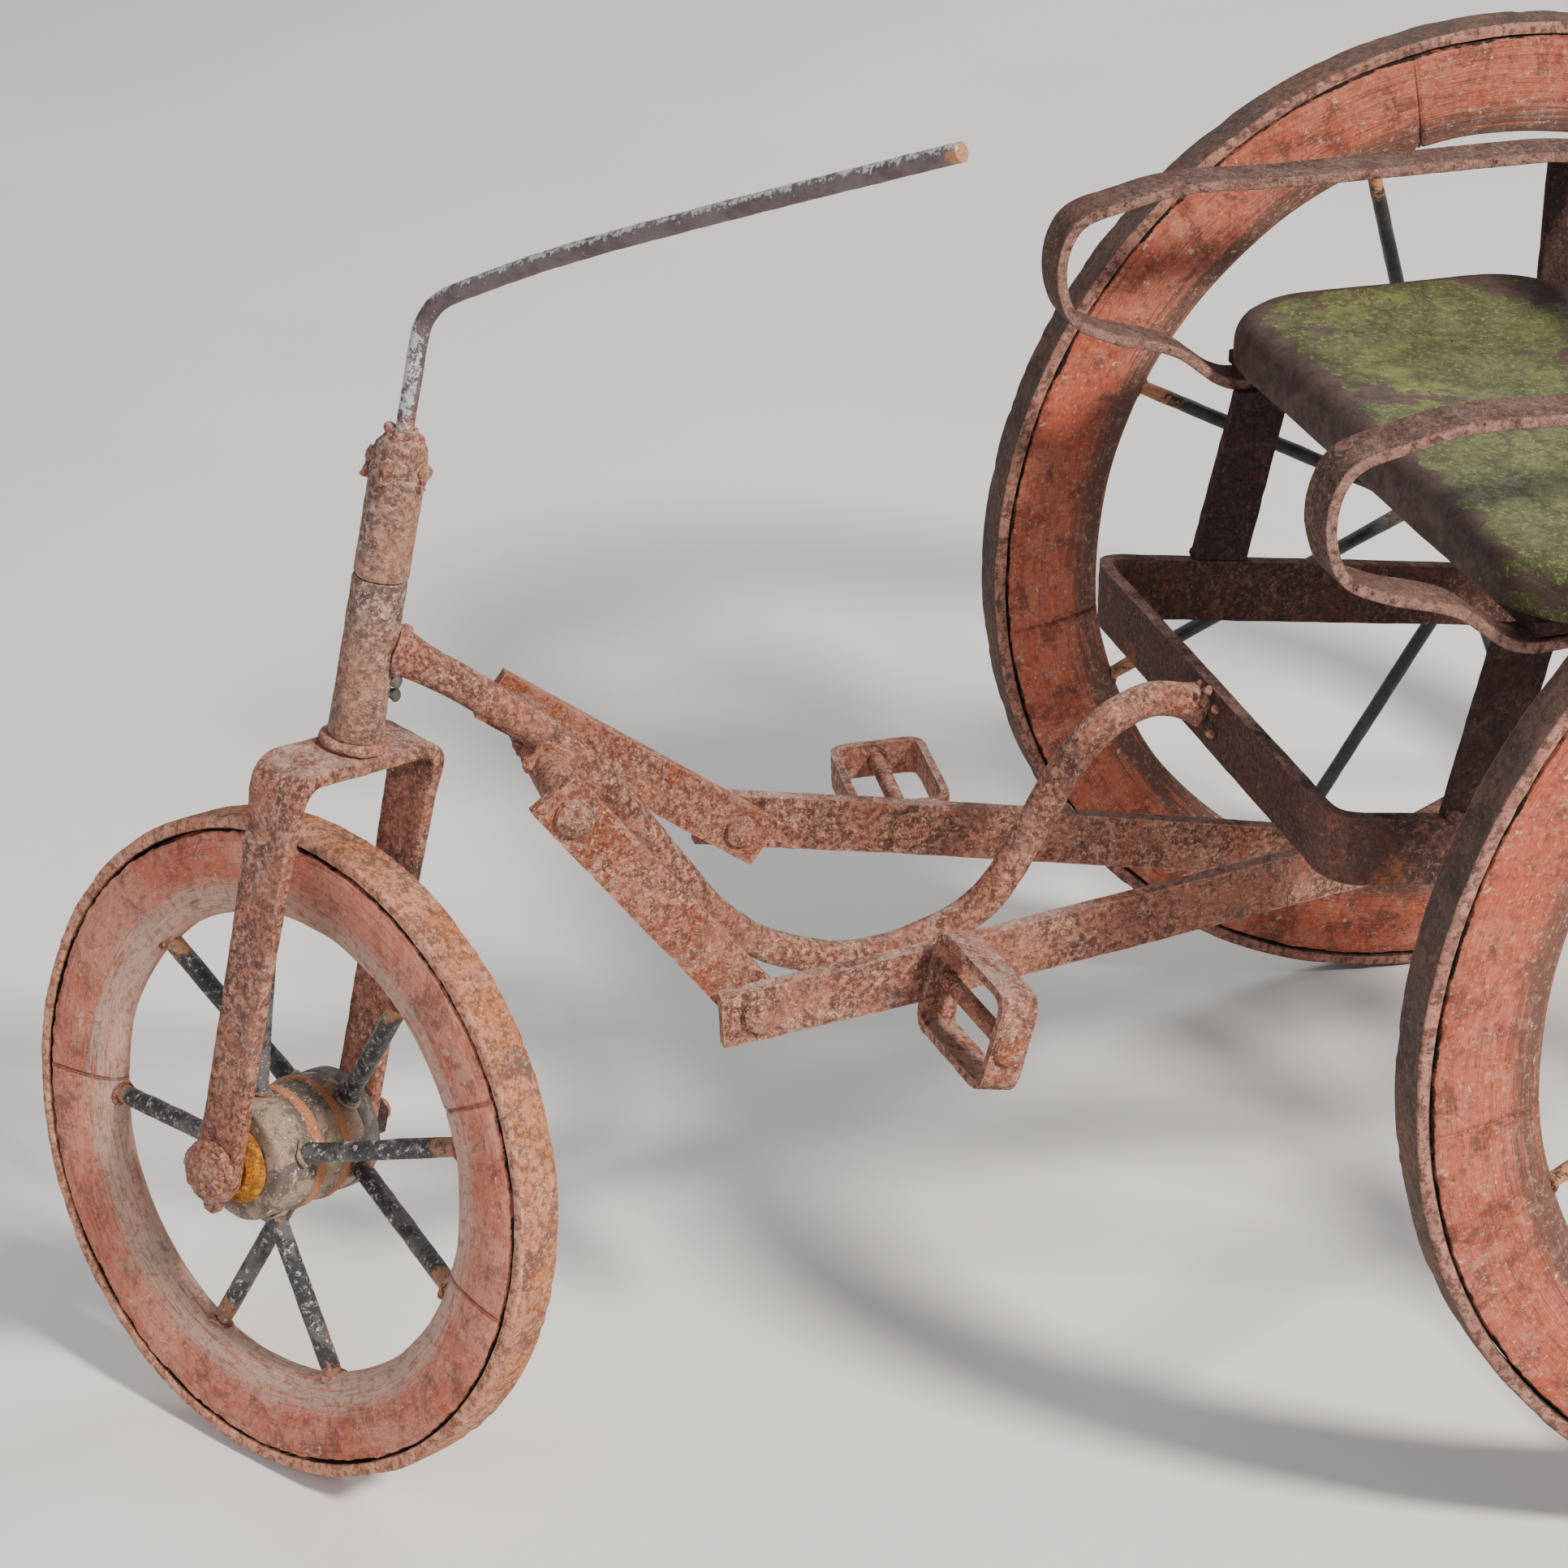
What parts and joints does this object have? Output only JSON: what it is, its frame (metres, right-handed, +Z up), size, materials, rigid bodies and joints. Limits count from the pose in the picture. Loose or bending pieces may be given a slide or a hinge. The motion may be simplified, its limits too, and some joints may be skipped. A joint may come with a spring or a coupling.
{
  "type": "treadle tricycle",
  "caption": "Old child's treadle tricycle with iron-tyred wooden wheels, tiller steering, swinging treadle bars, crank axle and sheet seat with arm rail.",
  "frame": {"origin": "ground level under the middle of the bounding box", "axes": "+Z up, the trike faces -Y, +X is the rider's left"},
  "size_m": [0.464, 0.7931, 0.4928],
  "materials": {
    "iron": "rusted",
    "tyre_iron": "rusted iron band",
    "red_wood": "worn red paint",
    "black_iron": "worn black paint",
    "dark_iron": "dark rust",
    "seat_paint": "worn green paint",
    "orange_rust": "bright rust",
    "tiller_paint": "flaking paint"
  },
  "bodies": {
    "frame": {"head_tube": "iron", "backbone": "iron", "link_pivot_tube": "iron", "link_pivot_pin": "iron", "frame_strap": "dark_iron", "frame_rear_bar": "dark_iron", "axle_bush_left": "dark_iron", "axle_bush_right": "dark_iron", "seat_post_left": "dark_iron", "seat_post_right": "dark_iron", "back_upright_left": "dark_iron", "back_upright_right": "dark_iron", "seat_front_strap": "dark_iron", "seat_rear_strap": "dark_iron", "seat_pan": "seat_paint", "arm_rail": "iron"},
    "steering": {"fork": "iron", "fork_collar": "iron", "steering_stem": "dark_iron", "steering_sleeve": "iron", "tiller": "tiller_paint", "front_axle_bolt": "iron", "front_axle_nut": "dark_iron", "front_cup_left": "orange_rust", "front_cup_right": "orange_rust"},
    "front_wheel": {"front_tyre": "tyre_iron", "front_rim": "red_wood", "front_hub": "iron", "front_spoke_1": "black_iron", "front_spoke_2": "black_iron", "front_spoke_3": "black_iron", "front_spoke_4": "black_iron", "front_spoke_5": "black_iron", "front_spoke_6": "black_iron", "front_spoke_7": "black_iron", "front_spoke_8": "black_iron"},
    "crank": {"crank_axle": "dark_iron", "rear_tyre_left": "tyre_iron", "rear_rim_left": "red_wood", "rear_hub_spokes_left": "black_iron", "axle_nut_left": "dark_iron", "axle_nut_right": "dark_iron"},
    "right_wheel": {"rear_tyre_right": "tyre_iron", "rear_rim_right": "red_wood", "rear_hub_spokes_right": "black_iron"},
    "link_left": {"link_left": "iron", "link_rivet_left": "iron"},
    "link_right": {"link_right": "iron", "link_rivet_right": "iron"},
    "treadle_left": {"treadle_bar_left": "iron", "treadle_rivet_left": "iron", "pedal_spindle_left": "iron"},
    "treadle_right": {"treadle_bar_right": "iron", "treadle_rivet_right": "iron", "pedal_spindle_right": "iron"},
    "pedal_left": {"pedal_left": "iron"},
    "pedal_right": {"pedal_right": "iron"}
  },
  "joints": [
    {"name": "steering_turn", "type": "hinge", "parent": "frame", "child": "steering", "pos_m": [0, -0.28788, 0.28957], "axis": [0, 0.1999, 0.9798], "range_deg": [-18, 131]},
    {"name": "front_wheel_spin", "type": "hinge", "parent": "steering", "child": "front_wheel", "pos_m": [0, -0.32364, 0.11428], "axis": [0.5563, -0.8142, 0.1661], "continuous": true},
    {"name": "crank_spin", "type": "hinge", "parent": "frame", "child": "crank", "pos_m": [0, 0.1935, 0.203], "axis": [1, 0, 0], "continuous": true},
    {"name": "right_wheel_spin", "type": "hinge", "parent": "crank", "child": "right_wheel", "pos_m": [-0.1942, 0.1935, 0.203], "axis": [1, 0, 0], "continuous": true},
    {"name": "treadle_left_swing", "type": "hinge", "parent": "crank", "child": "treadle_left", "pos_m": [0.016, 0.1815, 0.22379], "axis": [1, 0, 0], "continuous": true},
    {"name": "link_left_swing", "type": "hinge", "parent": "frame", "child": "link_left", "pos_m": [0.043, -0.2315, 0.2455], "axis": [1, 0, 0], "range_deg": [-10, 38]},
    {"name": "pedal_left_turn", "type": "hinge", "parent": "treadle_left", "child": "pedal_left", "pos_m": [0.07088, -0.10664, 0.17155], "axis": [0.9951, 0.0993, 0], "continuous": true},
    {"name": "treadle_right_swing", "type": "hinge", "parent": "crank", "child": "treadle_right", "pos_m": [-0.016, 0.2055, 0.18221], "axis": [1, 0, 0], "continuous": true},
    {"name": "link_right_swing", "type": "hinge", "parent": "frame", "child": "link_right", "pos_m": [-0.043, -0.2315, 0.2455], "axis": [1, 0, 0], "range_deg": [-26, 22]},
    {"name": "pedal_right_turn", "type": "hinge", "parent": "treadle_right", "child": "pedal_right", "pos_m": [-0.07098, -0.08788, 0.17713], "axis": [-0.9952, 0.0979, 0], "continuous": true}
  ],
  "couplings": [
    {"joint": "treadle_left_swing", "follows": "crank_spin", "ratio": -1},
    {"joint": "treadle_right_swing", "follows": "crank_spin", "ratio": -1}
  ]
}
